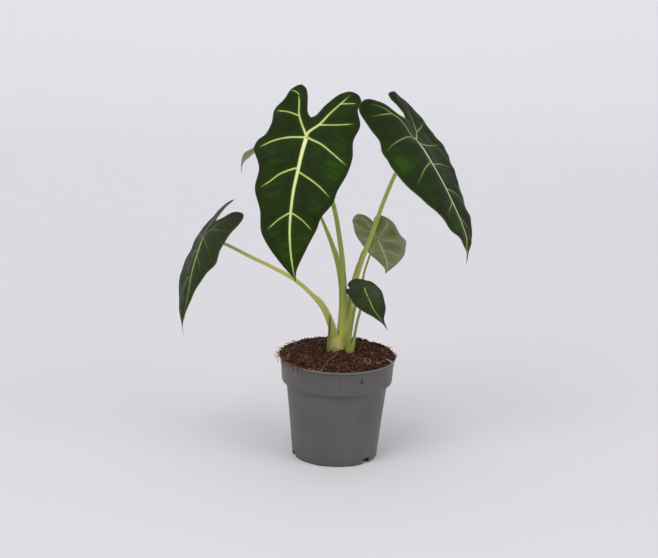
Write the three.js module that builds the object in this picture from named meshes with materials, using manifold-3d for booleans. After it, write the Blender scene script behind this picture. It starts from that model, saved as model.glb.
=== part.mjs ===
// A potted alocasia: a grower's pot of potting mix, a main crown of four leaves, a small side crown of two,
// a young spear, and the loose fibres and bark that lie on the mix.
// Millimetres, +Z up, origin at the centre of the pot's underside. +X is to the right of the plant's front,
// +Y points to its back.
import * as THREE from "three";
import { mergeVertices } from "three/addons/utils/BufferGeometryUtils.js";
import Module from "manifold-3d";

// ---- driving dimensions ----
const GAP = 0.3; // clearance that touching pieces keep
const POT_HEIGHT = 106.6;
const LIP_RADIUS = 60;
const BAND_RADIUS = 58.5; // at its top
const BAND_HEIGHT = 26; // from the lip's top to the step
const BODY_RADIUS = 52.1; // under the step
const FOOT_RADIUS = 44;
const WALL = 1.2;
const FLOOR = 1.8;
const DISC_RADIUS = 30; // the flat middle of the underside
const REACH = 7; // how far the openings of the foot run to each side of its rim
const NOTCH = { width: 10, height: 6, angles: [-162, -42, 78] }; // drainage, degrees from +X
const RECESS = { width: 12, height: 1, angles: [-108, -65, 12, 55, 132, 175] }; // air under the foot
const TURNS = 48; // facets round the pot and the mix
const CORM_TURNS = 20; // facets round a corm
const MARGIN_POINTS = 24; // along each side of a blade
const MIX_CROWN = 113.2; // height of the potting mix at the middle
const CORM_TOP = 111;
const BLADE = 0.8; // thickness of a leaf blade
const HEADROOM = 12; // clear space over a blade, where no stem goes on
const CREASE = 3; // half width of the soft crease along a midrib
const SHOULDER = 5; // half width of the soft bend across a blade at its stem

const degrees = THREE.MathUtils.degToRad;
const vector = (p) => new THREE.Vector3(...p);

// ---- solids: joins, cuts and their way back to a geometry ----
const wasm = await Module();
wasm.setup();

function solid(geometry) {
  const bare = geometry.clone();
  bare.deleteAttribute("normal");
  bare.deleteAttribute("uv");
  const merged = mergeVertices(bare, 1e-3);
  return new wasm.Manifold(
    new wasm.Mesh({
      numProp: 3,
      vertProperties: new Float32Array(merged.attributes.position.array),
      triVerts: new Uint32Array(merged.index.array),
    }),
  );
}

// The largest body of a solid, so that a cut leaves no sliver behind.
function geometryOf(made) {
  const bodies = made.decompose().sort((a, b) => b.volume() - a.volume());
  const mesh = bodies[0].getMesh();
  const geometry = new THREE.BufferGeometry();
  geometry.setAttribute("position", new THREE.BufferAttribute(mesh.vertProperties, 3));
  geometry.setIndex(new THREE.BufferAttribute(mesh.triVerts, 1));
  geometry.computeVertexNormals();
  return geometry;
}

const cut = (made, tools) => tools.reduce((left, tool) => left.subtract(tool), made);

function moveEach(geometry, place) {
  const position = geometry.attributes.position;
  const point = new THREE.Vector3();
  for (let i = 0; i < position.count; i++) {
    point.fromBufferAttribute(position, i);
    const to = place(point);
    position.setXYZ(i, to.x, to.y, to.z);
  }
  return geometry;
}

// A profile of [radius, height] points turned about the Z axis through (x, y).
function turned(profile, segments, x = 0, y = 0) {
  const points = profile.map(([r, z]) => new THREE.Vector2(r, z));
  return new THREE.LatheGeometry(points, segments).rotateX(Math.PI / 2).translate(x, y, 0);
}

// ---- the pot and what fills it ----
function potSolid() {
  const step = POT_HEIGHT - BAND_HEIGHT;
  const profile = [
    [0, 0],
    [DISC_RADIUS, 0],
    [DISC_RADIUS + 1, 1],
    [FOOT_RADIUS - 5, 1],
    [FOOT_RADIUS - 4, 0],
    [FOOT_RADIUS - 0.5, 0],
    [FOOT_RADIUS, 0.8],
    [BODY_RADIUS - 0.2, step - 3.5],
    [BODY_RADIUS + 0.8, step - 1.2],
    [BAND_RADIUS - 1.8, step],
    [BAND_RADIUS - 1.5, step + 1.5],
    [BAND_RADIUS, POT_HEIGHT - 2.4],
    [LIP_RADIUS - 0.3, POT_HEIGHT - 2],
    [LIP_RADIUS, POT_HEIGHT - 1.3],
    [LIP_RADIUS - 0.4, POT_HEIGHT],
    [BAND_RADIUS - 0.6, POT_HEIGHT],
    [BAND_RADIUS - WALL, POT_HEIGHT - 1],
    [BAND_RADIUS - WALL - 1.6, step + 1.4],
    [BODY_RADIUS - WALL, step - 1.5],
    [FOOT_RADIUS - WALL, FLOOR + 1.5],
    [FOOT_RADIUS - WALL - 1.5, FLOOR],
    [0, FLOOR],
  ];
  const openings = [NOTCH, RECESS].flatMap(({ width, height, angles }) =>
    angles.map((angle) => {
      const opening = new THREE.BoxGeometry(2 * REACH, width, 2 * height);
      return solid(opening.translate(FOOT_RADIUS, 0, 0).rotateZ(degrees(angle)));
    }),
  );
  return cut(solid(turned(profile, TURNS)), openings);
}

// The free surface of the mix: a low mound, heaped a little over the lip.
const MOUND = [
  [0, MIX_CROWN],
  [18, MIX_CROWN],
  [32, MIX_CROWN - 0.7],
  [44, MIX_CROWN - 2],
  [52, MIX_CROWN - 4],
  [BAND_RADIUS - WALL - 0.6, POT_HEIGHT + 0.6],
];

function mixTop(x, y) {
  const r = Math.hypot(x, y);
  const i = Math.max(1, MOUND.findIndex(([radius]) => radius >= r));
  const [[r0, z0], [r1, z1]] = [MOUND[i - 1], MOUND[i]];
  return THREE.MathUtils.mapLinear(Math.min(r, r1), r0, r1, z0, z1);
}

function mixSolid() {
  const step = POT_HEIGHT - BAND_HEIGHT;
  const wall = WALL + GAP;
  const side = [
    [BAND_RADIUS - wall - 1.7, step + 1.6],
    [BODY_RADIUS - wall - 0.1, step - 1.4],
    [FOOT_RADIUS - wall - 0.1, FLOOR + 2],
    [FOOT_RADIUS - wall - 1.7, FLOOR + GAP],
    [0, FLOOR + GAP],
  ];
  return solid(turned([...MOUND, ...side].reverse(), TURNS));
}

// A corm stands in the mix with only its neck in the air.
function cormSolid({ at, radius, depth }, grow = 0) {
  const [x, y] = at;
  const top = CORM_TOP + grow;
  const bottom = CORM_TOP - depth - grow;
  const profile = [
    [0, bottom],
    [0.55 * radius + grow, bottom],
    [0.95 * radius + grow, bottom + 0.25 * depth],
    [radius + grow, bottom + 0.5 * depth],
    [0.92 * radius + grow, bottom + 0.75 * depth],
    [0.86 * radius + grow, top],
    [0, top],
  ];
  return solid(turned(profile, CORM_TURNS, x, y));
}

// ---- stems, spears and fibres: a tapered bar bent along a smooth curve ----
// radii gives [share of the length, radius] pairs from the foot up; grow swells the bar for a clearance cut.
function bar({ path, radii, sides = 10, steps = 16 }, grow = 0) {
  const curve = new THREE.CatmullRomCurve3(path.map(vector), false, "centripetal");
  const radiusAt = (s) => {
    const i = Math.max(1, radii.findIndex(([share]) => share >= s));
    const [[s0, r0], [s1, r1]] = [radii[i - 1], radii[i]];
    return THREE.MathUtils.mapLinear(s, s0, s1, r0, r1) + grow;
  };
  const profile = [new THREE.Vector2(0, 0)];
  for (let i = 0; i <= steps; i++) {
    profile.push(new THREE.Vector2(radiusAt(i / steps), i / steps));
  }
  profile.push(new THREE.Vector2(0, 1));
  const side = new THREE.Vector3();
  const front = new THREE.Vector3();
  const bent = moveEach(new THREE.LatheGeometry(profile, sides), (p) => {
    const middle = curve.getPointAt(p.y);
    const along = curve.getTangentAt(p.y);
    const hint = Math.abs(along.y) > 0.8 ? new THREE.Vector3(0, 0, 1) : new THREE.Vector3(0, 1, 0);
    side.crossVectors(along, hint).normalize();
    front.crossVectors(side, along);
    const longer = p.y === 0 ? -grow : p.y === 1 ? grow : 0;
    return middle.addScaledVector(side, p.x).addScaledVector(front, p.z).addScaledVector(along, longer);
  });
  return solid(bent);
}

// ---- leaf blades ----
// A blade lies over a flat outline, as seen from its upper side with the tip hanging down: x to the right,
// y up, the joint with the stem at the origin. It is folded and arched across, and droops along its midrib.
function bladeFrame({ joint, heading, dip, roll }) {
  const [a, d, r] = [heading, dip, roll].map(degrees);
  const up = new THREE.Vector3(-Math.cos(d) * Math.cos(a), -Math.cos(d) * Math.sin(a), Math.sin(d));
  const level = new THREE.Vector3(Math.sin(d) * Math.cos(a), Math.sin(d) * Math.sin(a), Math.cos(d));
  const aside = new THREE.Vector3().crossVectors(level, up);
  const out = level.multiplyScalar(Math.cos(r)).addScaledVector(aside, Math.sin(r));
  const right = new THREE.Vector3().crossVectors(up, out);
  return new THREE.Matrix4().makeBasis(right, up, out).setPosition(vector(joint));
}

function bladeHeight({ fold, arch, droop, back, ridge = 0, hook = [0, 0] }, x, y) {
  const side = x < 0 ? 0 : 1;
  const rise = Math.hypot(x, CREASE) - CREASE;
  const shoulder = Math.hypot(y, SHOULDER) - SHOULDER;
  const beyond = Math.max(0, hook[0] - y);
  const across = fold[side] * rise - arch[side] * x * x;
  return across - (y < 0 ? droop : back) * y * y - ridge * shoulder - hook[1] * beyond * beyond;
}

// A bent slab over the whole outline, from low to high over the blade's middle surface.
function bladeSlab(leaf, low, high) {
  const points = [...leaf.left, ...leaf.right];
  const [xs, ys] = [0, 1].map((i) => points.map((p) => p[i]));
  const margin = 4;
  const [west, east] = [Math.min(...xs) - margin, Math.max(...xs) + margin];
  const [south, north] = [Math.min(...ys) - margin, Math.max(...ys) + margin];
  const across = Math.round((east - west) / leaf.grid);
  const along = Math.round((north - south) / leaf.grid);
  const slab = new THREE.BoxGeometry(east - west, north - south, high - low, across, along, 1);
  slab.translate((west + east) / 2, (south + north) / 2, (low + high) / 2);
  moveEach(slab, (p) => p.setZ(p.z + bladeHeight(leaf, p.x, p.y)));
  return solid(slab.applyMatrix4(bladeFrame(leaf)));
}

// Both margins run from the notch between the lobes, round a lobe, to the tip.
function outlineShape({ left, right }) {
  const smooth = (points) =>
    new THREE.CatmullRomCurve3(points.map(([x, y]) => new THREE.Vector3(x, y, 0)), false, "centripetal");
  const margins = [smooth(right), smooth(left)].map((curve) => curve.getPoints(MARGIN_POINTS));
  const loop = [...margins[0], ...margins[1].reverse().slice(1, -1)];
  return new THREE.Shape(loop.map((p) => new THREE.Vector2(p.x, p.y)));
}

function bladeSolid(leaf) {
  const tall = 240;
  const cutter = new THREE.ExtrudeGeometry(outlineShape(leaf), { depth: tall, bevelEnabled: false });
  cutter.translate(0, 0, -tall / 2).applyMatrix4(bladeFrame(leaf));
  const blade = bladeSlab(leaf, -BLADE / 2, BLADE / 2).intersect(solid(cutter));
  return blade.add(midribSolid(leaf));
}

// The midrib stands out of the underside, thick at the stem and thin towards the tip.
function midribSolid(leaf, grow = 0) {
  const frame = bladeFrame(leaf);
  const thin = 0.25;
  const path = leaf.midrib.map(([x, y], i) => {
    const radius = leaf.rib * THREE.MathUtils.lerp(1, thin, i / (leaf.midrib.length - 1));
    const centre = bladeHeight(leaf, x, y) - BLADE / 2 - 0.5 * radius;
    return new THREE.Vector3(x, y, centre).applyMatrix4(frame).toArray();
  });
  const radii = [[0, leaf.rib], [1, thin * leaf.rib]];
  return bar({ path, radii, sides: 6, steps: 10 }, grow);
}

// Positions and angles: heading is the compass of the tip from +X towards +Y, dip its slope down, roll the
// turn about the midrib. fold, arch: left half, right half. ridge bends the lobes against the rest, and hook
// bends the tip down, from a place on the midrib.
const LEAVES = {
  centre_leaf: {
    joint: [-38, -50, 346], heading: -92, dip: 62, roll: 0,
    fold: [0.12, 0.12], arch: [0.002, 0.002], droop: 0.0012, back: 0.001, grid: 14, rib: 1.6,
    right: [
      [3, 20], [8, 22], [17, 33], [30, 45], [41, 48], [49, 45], [52, 38], [49, 29], [52, 13], [46, -3],
      [46, -20], [42, -35], [33, -53], [29, -65], [18, -80], [14, -91], [5, -110], [-4, -131], [-4, -141],
    ],
    left: [
      [3, 20], [0, 25], [-1, 42], [-3, 50], [-8, 54], [-17, 49], [-24, 37], [-33, 26], [-35, 12], [-40, 1],
      [-48, -6], [-51, -14], [-45, -33], [-48, -54], [-42, -75], [-40, -95], [-33, -108], [-19, -125],
      [-8, -136], [-4, -141],
    ],
    midrib: [[-1, -6], [-7, -35], [-12, -76], [-11, -112], [-5, -137]],
    stem: {
      path: [
        [3, -2, 111.3], [3.6, -2.5, 130], [4.9, -4, 167], [2.6, -7, 200], [-0.7, -11, 226],
        [-9.4, -22, 271], [-22, -34, 307], [-38, -50, 346],
      ],
      radii: [[0, 3.4], [0.25, 2.9], [0.6, 2.3], [1, 1.9]],
    },
  },
  right_leaf: {
    joint: [71, 5, 335], heading: -48.6, dip: 35.7, roll: -35,
    fold: [-0.045, 0.108], arch: [0.0104, -0.0026], droop: 0.0014, back: -0.004, grid: 13, rib: 1.6,
    right: [
      [2, 27], [5, 34], [-4, 41], [-13, 46], [-17, 51], [-10, 54], [5, 55], [20, 52], [36, 43], [48, 26],
      [54, 8], [52, -8], [46, -26], [38, -50], [34, -72], [29, -92], [22, -112], [10, -125], [-2, -136],
      [-10, -146],
    ],
    left: [
      [2, 27], [-10, 29], [-22, 38], [-33, 44], [-45, 48], [-50, 43], [-50, 28], [-47, 6], [-48, -4],
      [-51, -18], [-50, -40], [-46, -60], [-38, -78], [-30, -95], [-20, -112], [-8, -124], [-3, -130],
      [-10, -146],
    ],
    midrib: [[2, -6], [2, -40], [4, -76], [7, -108], [-2, -132], [-9, -143]],
    stem: {
      path: [
        [8.5, 4.5, 111.3], [9, 5, 138], [11, 6, 158], [16, 8, 186], [21, 10, 204], [31, 13, 234],
        [42, 14, 269], [53, 12, 299], [71, 5, 335],
      ],
      radii: [[0, 3.3], [0.25, 3.2], [0.42, 2.4], [1, 1.8]],
    },
  },
  left_leaf: {
    joint: [-139, -20, 233], heading: -136.4, dip: 51.9, roll: 34.9,
    fold: [0.062, -0.358], arch: [-0.0011, 0.0065], droop: 0.0033, back: 0.0039, grid: 11, rib: 1.3,
    right: [
      [4, 20], [10, 25], [17, 34], [27, 36], [33, 30], [33, 12], [32, -8], [33, -22], [27, -35], [20, -50],
      [12, -66], [4, -80], [0, -90], [2, -97],
    ],
    left: [
      [4, 20], [-4, 30], [-11, 42], [-15, 52], [-22, 52], [-31, 47], [-33, 40], [-26, 30], [-28, 18],
      [-32, 8], [-31, -3], [-28, -14], [-32, -27], [-31, -46], [-26, -58], [-12, -77], [-3, -88], [2, -97],
    ],
    midrib: [[1, -5], [5, -22], [7, -45], [5, -70], [2, -94]],
    stem: {
      path: [
        [-4.3, -2, 111.3], [-5.2, -3, 129], [-10.5, -5, 146], [-18, -7, 161], [-30, -9, 175], [-46, -11, 189],
        [-67, -13, 201], [-92, -15, 213], [-118, -17, 226], [-139, -20, 233],
      ],
      radii: [[0, 3.4], [0.12, 3.4], [0.35, 2.2], [1, 1.5]],
    },
  },
  rear_leaf: {
    joint: [-74.5, 28.7, 328], heading: 190, dip: 33, roll: 36,
    fold: [0.3, 0.3], arch: [0.004, 0.004], droop: 0.003, back: 0.001, hook: [-32, 0.05], grid: 6, rib: 1,
    right: [
      [0, 8], [3, 15], [8, 18], [12, 14], [12, 6], [8, -5], [6, -15], [7, -25], [8, -32], [4, -40], [0, -46],
    ],
    left: [
      [0, 8], [-4, 16], [-10, 19], [-15, 15], [-17, 6], [-18, -5], [-17.5, -17], [-14, -27], [-9, -34],
      [-4, -40], [0, -46],
    ],
    midrib: [[0, -4], [0.3, -16], [0, -30], [0, -44]],
    stem: {
      path: [
        [0.6, 6.6, 111.5], [2.2, 8, 143], [1.6, 8.5, 175], [-2.7, 9, 201], [-8.6, 10, 219],
        [-14.8, 12, 234], [-22, 15, 249], [-37, 20, 279], [-55, 25, 306], [-74.5, 28.7, 328],
      ],
      radii: [[0, 3], [0.4, 2.8], [0.58, 1.6], [1, 1.2]],
    },
  },
  back_leaf: {
    joint: [37, 35, 223], heading: 75, dip: 60, roll: 0,
    fold: [0.1, 0.1], arch: [0.004, 0.004], droop: 0.002, back: 0, grid: 11, rib: 0.9,
    right: [
      [2, 23], [6, 28], [12, 32], [19, 32], [24, 24], [24, 15], [22, 0], [17, -12], [10, -23], [1, -32],
      [-5, -39], [-5, -47],
    ],
    left: [
      [2, 23], [0, 30], [-4, 34], [-12, 31], [-20, 23], [-25, 11], [-31, 3], [-30, -6], [-27, -20],
      [-20, -31], [-11, -40], [-5, -47],
    ],
    midrib: [[0, -4], [-3, -14], [-8, -31], [-6, -44]],
    stem: {
      path: [
        [13, -10.6, 111.9], [14.6, -9.4, 121], [16.8, -5.5, 131], [19, 2, 143], [22, 7, 155],
        [23, 13, 174], [24, 18, 188], [28, 24, 202], [33, 29, 216], [37, 35, 223],
      ],
      radii: [[0, 3.1], [0.08, 2.7], [0.16, 1.5], [1, 1]],
      steps: 20,
    },
  },
  front_leaf: {
    joint: [25, -22, 186], heading: -35, dip: 25, roll: 20,
    fold: [0.08, 0.08], arch: [0.004, 0.004], droop: 0.001, back: 0, ridge: 0.7, grid: 7, rib: 0.9,
    right: [
      [-8, 12], [-3, 19], [4, 22], [9, 21], [12.5, 14], [12, 7], [11.5, 0], [12.5, -6], [14, -12],
      [12, -18], [8, -25], [3, -29], [-1, -32], [-2.5, -40.5],
    ],
    left: [
      [-8, 12], [-11, 14.5], [-16, 11], [-19.5, 5], [-22.5, -1.5], [-22.5, -6.5], [-18.5, -15.5],
      [-12, -25.5], [-8.5, -30], [-5, -34], [-2.5, -40.5],
    ],
    midrib: [[-1, -3], [-4, -14], [-6, -25], [-4, -35], [-3, -39]],
    stem: {
      path: [
        [10, -12.2, 111.3], [11, -12.4, 125], [12.5, -13.4, 140], [15, -16, 160], [19, -19, 176],
        [25, -22, 186],
      ],
      radii: [[0, 2.2], [0.5, 2.1], [0.8, 1.4], [1, 1.1]],
      sides: 8,
      steps: 12,
    },
  },
};

const SPEAR = {
  path: [[-9.5, -10, 106], [-9.8, -10, 119], [-9.6, -10, 135], [-9.2, -9.2, 152]],
  radii: [[0, 1.7], [0.35, 1.6], [0.5, 1.1], [0.85, 0.9], [1, 0.3]],
  sides: 8,
  steps: 10,
};

const CORMS = {
  main_corm: { at: [2, 1.2], radius: 11, depth: 34 },
  side_corm: { at: [12, -11.4], radius: 4.7, depth: 14 },
};

// Loose matter: [x, y, height over the mix], or a free height where it hangs over the lip.
const onMix = (path) => path.map(([x, y, lift]) => [x, y, mixTop(x, y) + lift]);
const LOOSE = {
  root_strand: {
    path: [
      ...onMix([
        [0.7, -14, 1.2], [-1.4, -21, 0.9], [-4, -28, 1], [-7.5, -34.5, 0.9], [-10.8, -42, 1],
        [-13.6, -49, 1.4],
      ]),
      [-15.6, -56.5, 108.8], [-16.6, -60.6, 106.6], [-18.2, -60.6, 100.4], [-20.4, -59.6, 96.6],
    ],
    radii: [[0, 0.5], [1, 0.4]],
    sides: 6,
    steps: 24,
  },
  left_straw: {
    path: [...onMix([[-49.5, -10, 1.8], [-50, -16, 1.6]]), [-50.7, -22.5, 109.3], [-51, -28, 108.7]],
    radii: [[0, 0.9], [1, 0.7]],
    sides: 6,
    steps: 10,
  },
  right_straw: {
    path: [...onMix([[50.2, -18.8, 1.2]]), [52.2, -21.4, 109.6], [54.9, -24.4, 108.7], [58.1, -24.6, 105.4]],
    radii: [[0, 0.5], [1, 0.8]],
    sides: 6,
    steps: 10,
  },
  curled_fibre: {
    path: onMix([
      [27, -25, 1.2], [28.1, -30.5, 1.6], [28.8, -36.7, 1.2], [30.4, -40.3, 1.3], [32.4, -38.1, 2],
      [33.2, -32.9, 1.8], [31.9, -27, 1.2],
    ]),
    radii: [[0, 0.4], [1, 0.4]],
    sides: 6,
    steps: 20,
  },
};

// ---- assembly ----
const COLOURS = {
  pot: 0x5a5959,
  mix: 0x46301f,
  corm: 0x9c8a62,
  blade: 0x1d3a1e,
  stem: 0x8c9a48,
  fibre: 0xb49a6c,
};

const plant = new THREE.Group();

function addPiece(name, made, colour, roughness = 0.7) {
  const material = new THREE.MeshStandardMaterial({ color: COLOURS[colour], roughness, metalness: 0 });
  const mesh = new THREE.Mesh(geometryOf(made), material);
  mesh.name = name;
  plant.add(mesh);
}

addPiece("pot", potSolid(), "pot", 0.5);

const planted = [];
for (const [name, corm] of Object.entries(CORMS)) {
  addPiece(name, cormSolid(corm), "corm", 0.8);
  planted.push(cormSolid(corm, GAP));
}
addPiece("spear_shoot", bar(SPEAR), "stem", 0.45);
planted.push(bar(SPEAR, GAP));

for (const [name, leaf] of Object.entries(LEAVES)) {
  addPiece(name + "_blade", bladeSolid(leaf), "blade", 0.6);
  const above = [bladeSlab(leaf, -BLADE / 2 - GAP, HEADROOM), midribSolid(leaf, GAP)];
  const neighbours = name === "back_leaf" ? [bar(LEAVES.front_leaf.stem, GAP)] : [];
  addPiece(name + "_stem", cut(bar(leaf.stem), [...above, ...neighbours]), "stem", 0.45);
  planted.push(bar(leaf.stem, GAP));
}
addPiece("potting_mix", cut(mixSolid(), planted), "mix", 0.95);
for (const [name, fibre] of Object.entries(LOOSE)) addPiece(name, bar(fibre), "fibre", 0.8);

export default plant;
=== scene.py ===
"""A potted alocasia on a pale floor: fine leaves, stems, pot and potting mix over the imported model's frame.

Leaf and stem numbers are in millimetres and degrees, in the model's own frame, as the solids are made.
"""

import bpy
import random
from math import cos, exp, hypot, pi, radians, sin, sqrt
from mathutils import Matrix, Vector, kdtree, noise
from mathutils.geometry import delaunay_2d_cdt


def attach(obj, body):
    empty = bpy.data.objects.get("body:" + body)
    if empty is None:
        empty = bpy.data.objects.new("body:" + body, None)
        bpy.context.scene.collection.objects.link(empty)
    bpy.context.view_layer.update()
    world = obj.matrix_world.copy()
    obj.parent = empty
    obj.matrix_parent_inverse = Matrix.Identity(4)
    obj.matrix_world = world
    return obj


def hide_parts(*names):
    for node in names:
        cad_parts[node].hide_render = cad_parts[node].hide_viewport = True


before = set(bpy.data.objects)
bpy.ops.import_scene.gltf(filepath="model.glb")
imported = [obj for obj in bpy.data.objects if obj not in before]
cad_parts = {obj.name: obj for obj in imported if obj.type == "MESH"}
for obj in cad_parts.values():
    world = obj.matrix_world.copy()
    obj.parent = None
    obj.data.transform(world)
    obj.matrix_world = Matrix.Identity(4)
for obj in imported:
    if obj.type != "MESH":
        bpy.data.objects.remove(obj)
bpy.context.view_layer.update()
MM = 0.001

POT_HEIGHT = 106.6
MIX_CROWN = 113.2

# ---------------- curves


def smooth(points, count):
    """A centripetal Catmull-Rom curve through the points, as count + 1 samples."""
    pts = [Vector(p).to_3d() for p in points]
    pts = [2 * pts[0] - pts[1], *pts, 2 * pts[-1] - pts[-2]]
    spans = len(points) - 1
    out = []
    for k in range(count + 1):
        t = k / count * spans
        i = min(int(t), spans - 1)
        w = t - i
        p0, p1, p2, p3 = pts[i : i + 4]
        d0, d1, d2 = ((b - a).length_squared ** 0.25 or 1e-4 for a, b in ((p0, p1), (p1, p2), (p2, p3)))
        m1 = ((p1 - p0) / d0 - (p2 - p0) / (d0 + d1) + (p2 - p1) / d1) * d1
        m2 = ((p2 - p1) / d1 - (p3 - p1) / (d1 + d2) + (p3 - p2) / d2) * d1
        out.append(
            (2 * w**3 - 3 * w**2 + 1) * p1
            + (w**3 - 2 * w**2 + w) * m1
            + (3 * w**2 - 2 * w**3) * p2
            + (w**3 - w**2) * m2
        )
    return out


def resample(points, step):
    """The same line with samples about step apart, both ends kept."""
    lengths = [0.0]
    for a, b in zip(points, points[1:]):
        lengths.append(lengths[-1] + (b - a).length)
    count = max(2, round(lengths[-1] / step))
    out, i = [], 0
    for k in range(count + 1):
        want = lengths[-1] * k / count
        while i < len(points) - 2 and lengths[i + 1] < want:
            i += 1
        span = lengths[i + 1] - lengths[i] or 1
        out.append(points[i].lerp(points[i + 1], (want - lengths[i]) / span))
    return out


def between(pairs, s):
    """Straight interpolation in a list of (share, value) pairs."""
    for (s0, v0), (s1, v1) in zip(pairs, pairs[1:]):
        if s <= s1:
            return v0 + (v1 - v0) * (s - s0) / (s1 - s0)
    return pairs[-1][1]


def polyline(text):
    """Points from text such as "3 20, 8 22"."""
    return [tuple(float(v) for v in point.split()) for point in text.split(",") if point]


def perlin(x, y, z):
    return noise.noise(Vector((x, y, z)))


def step(low, high, x):
    t = min(1, max(0, (x - low) / (high - low)))
    return t * t * (3 - 2 * t)


# ---------------- meshes


def make(name, verts, faces, materials, replaces=(), attributes=None, material_index=None):
    """A smooth piece from millimetre vertices, riding on the model's one body."""
    mesh = bpy.data.meshes.new(name)
    mesh.from_pydata([Vector(v) * MM for v in verts], [], faces)
    for key, values in (attributes or {}).items():
        layer = mesh.attributes.new(key, "FLOAT", "POINT")
        layer.data.foreach_set("value", values)
    for m in materials:
        mesh.materials.append(m)
    if material_index:
        mesh.polygons.foreach_set("material_index", material_index)
    mesh.shade_smooth()
    mesh.validate()
    piece = bpy.data.objects.new(name, mesh)
    bpy.context.scene.collection.objects.link(piece)
    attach(piece, "root")
    if replaces:
        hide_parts(*replaces)
    return piece


def caps(bottom, top, count):
    """The two ends of a stack of rings, by the first vertex of the lowest and the highest ring."""
    return [tuple(bottom + k for k in range(count - 1, -1, -1)), tuple(top + k for k in range(count))]


def belt(first, count, inward=False):
    """Quads between the ring of vertices that starts at first and the ring after it."""
    pairs = [(first + k, first + (k + 1) % count) for k in range(count)]
    if inward:
        return [(a, a + count, b + count, b) for a, b in pairs]
    return [(a, b, b + count, a + count) for a, b in pairs]


class Tubes:
    """Tapered tubes gathered in one mesh. Each vertex knows its share of the length and its tone."""

    def __init__(self):
        self.verts, self.faces, self.share, self.tone, self.around = [], [], [], [], []

    def add(self, path, radius, sides=16, tone=0.5, squash=None):
        """radius(share) in mm; squash(share, angle) scales it round the section."""
        first = len(self.verts)
        n, side = len(path), None
        for i, p in enumerate(path):
            along = (path[min(i + 1, n - 1)] - path[max(i - 1, 0)]).normalized()
            if side is None:
                side = along.cross(Vector((0, 1, 0))).normalized()
            side = (side - along * side.dot(along)).normalized()
            front = side.cross(along)
            s = i / (n - 1)
            for k in range(sides):
                a = 2 * pi * k / sides
                r = radius(s) * (squash(s, a) if squash else 1)
                self.verts.append(p + side * cos(a) * r + front * sin(a) * r)
                self.share.append(s)
                self.tone.append(tone)
                self.around.append(abs((a / pi) - 1))
        for i in range(n - 1):
            self.faces += belt(first + i * sides, sides, inward=True)
        for i, turn in ((0, 1), (n - 1, -1)):
            ring = [first + i * sides + k for k in range(sides)]
            self.faces.append(ring[::turn])

    def piece(self, name, material, slot, replaces=()):
        return make(
            name, self.verts, self.faces, [material], replaces,
            {"share": self.share, "tone": self.tone, "around": self.around},
        )


# ---------------- materials


class Shader:
    """A node material written as nested calls. A socket or a constant goes into each input."""

    def __init__(self, name):
        self.material = bpy.data.materials.new(name)
        self.material.use_nodes = True
        self.tree = self.material.node_tree
        self.tree.nodes.clear()

    def node(self, kind, out=0, inputs=(), **props):
        made = self.tree.nodes.new("ShaderNode" + kind)
        for key, value in props.items():
            setattr(made, key, value)
        for key, value in dict(inputs).items():
            if isinstance(value, bpy.types.NodeSocket):
                self.tree.links.new(value, made.inputs[key])
            else:
                solid = made.inputs[key].type == "RGBA"
                made.inputs[key].default_value = (*value, 1) if solid else value
        return made.outputs[out]

    def place(self):
        return self.node("TexCoord", "Object")

    def attribute(self, name):
        return self.node("Attribute", "Fac", attribute_name=name)

    def noise(self, scale, detail=3, rough=0.55, vector=None):
        ins = {"Vector": vector or self.place(), "Scale": scale, "Detail": detail, "Roughness": rough}
        return self.node("TexNoise", "Fac", ins)

    def cells(self, scale, feature):
        return self.node("TexVoronoi", "Distance", {"Vector": self.place(), "Scale": scale}, feature=feature)

    def stretch(self, x, y, z):
        return self.node("Mapping", 0, {"Vector": self.place(), "Scale": (x, y, z)})

    def span(self, value, low, high, to_low=0.0, to_high=1.0):
        ins = {"Value": value, "From Min": low, "From Max": high, "To Min": to_low, "To Max": to_high}
        return self.node("MapRange", 0, ins, interpolation_type="SMOOTHSTEP")

    def times(self, a, b):
        return self.node("Math", 0, {0: a, 1: b}, operation="MULTIPLY")

    def mix(self, share, a, b):
        """The colour a, or b by its share."""
        return self.node("Mix", 2, {0: share, 6: a, 7: b}, data_type="RGBA")

    def tint(self, share, strength, colour, other):
        """The colour with at most strength of the other, by share."""
        return self.mix(self.times(share, strength), colour, other)

    def bump(self, height, distance, strength=1.0, normal=None):
        ins = {"Height": height, "Distance": distance, "Strength": strength}
        if normal:
            ins["Normal"] = normal
        return self.node("Bump", 0, ins)

    def finish(self, colour, roughness, normal=None, **extra):
        ins = {"Base Color": colour, "Roughness": roughness}
        ins.update({k.replace("_", " "): v for k, v in extra.items()})
        if normal:
            ins["Normal"] = normal
        shader = self.node("BsdfPrincipled", 0, ins)
        output = self.tree.nodes.new("ShaderNodeOutputMaterial")
        self.tree.links.new(shader, output.inputs["Surface"])
        return self.material


BLADE_TONES = ("vein", "vein_under", "core", "halo", "rim", "patch", "veil")


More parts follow.
